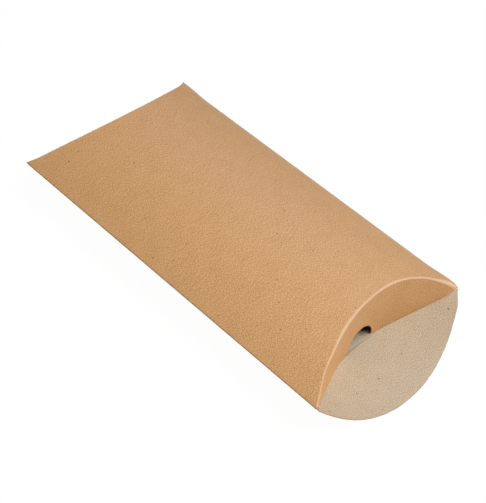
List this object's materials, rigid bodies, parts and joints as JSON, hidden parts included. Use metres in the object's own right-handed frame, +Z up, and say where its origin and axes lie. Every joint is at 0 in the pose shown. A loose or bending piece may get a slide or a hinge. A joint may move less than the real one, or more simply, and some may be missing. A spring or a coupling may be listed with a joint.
{
  "type": "pillow box",
  "caption": "Kraft paperboard pillow box with bowed panels and curved end creases, a tucked flap with a thumb notch and a plain flap left open.",
  "frame": {"origin": "middle of the flat strip of the belly that the box rests on", "axes": "+X along the box towards the end with the open plain flap, +Y across it towards the glued seam, +Z up"},
  "size_m": [0.1926, 0.0995, 0.0377],
  "materials": {
    "kraft_board": "matte",
    "glue": "satin"
  },
  "bodies": {
    "tube": {"top_panel": "kraft_board", "bottom_panel": "kraft_board", "side_crease": "kraft_board", "seam_crease": "kraft_board", "glue_tab": "kraft_board", "near_upper_crease": "kraft_board", "near_lower_crease": "kraft_board", "far_upper_crease": "kraft_board", "far_lower_crease": "kraft_board", "far_lower_flap": "kraft_board", "glue_line": "glue"},
    "near_upper": {"near_upper_flap": "kraft_board"},
    "near_lower": {"near_lower_flap": "kraft_board"},
    "far_upper": {"far_upper_flap": "kraft_board"}
  },
  "joints": [
    {"name": "near_upper_fold", "type": "hinge", "parent": "tube", "child": "near_upper", "pos_m": [0.0718, 0, 0.03765], "axis": [0, -1, 0], "range_deg": [0, 90]},
    {"name": "near_lower_fold", "type": "hinge", "parent": "tube", "child": "near_lower", "pos_m": [0.0718, 0, 0.00025], "axis": [0, -1, 0], "range_deg": [0, 85], "deforming": ["near_lower_flap"]},
    {"name": "far_upper_fold", "type": "hinge", "parent": "tube", "child": "far_upper", "pos_m": [-0.0718, 0, 0.03765], "axis": [0, 1, 0], "range_deg": [0, 90]}
  ]
}
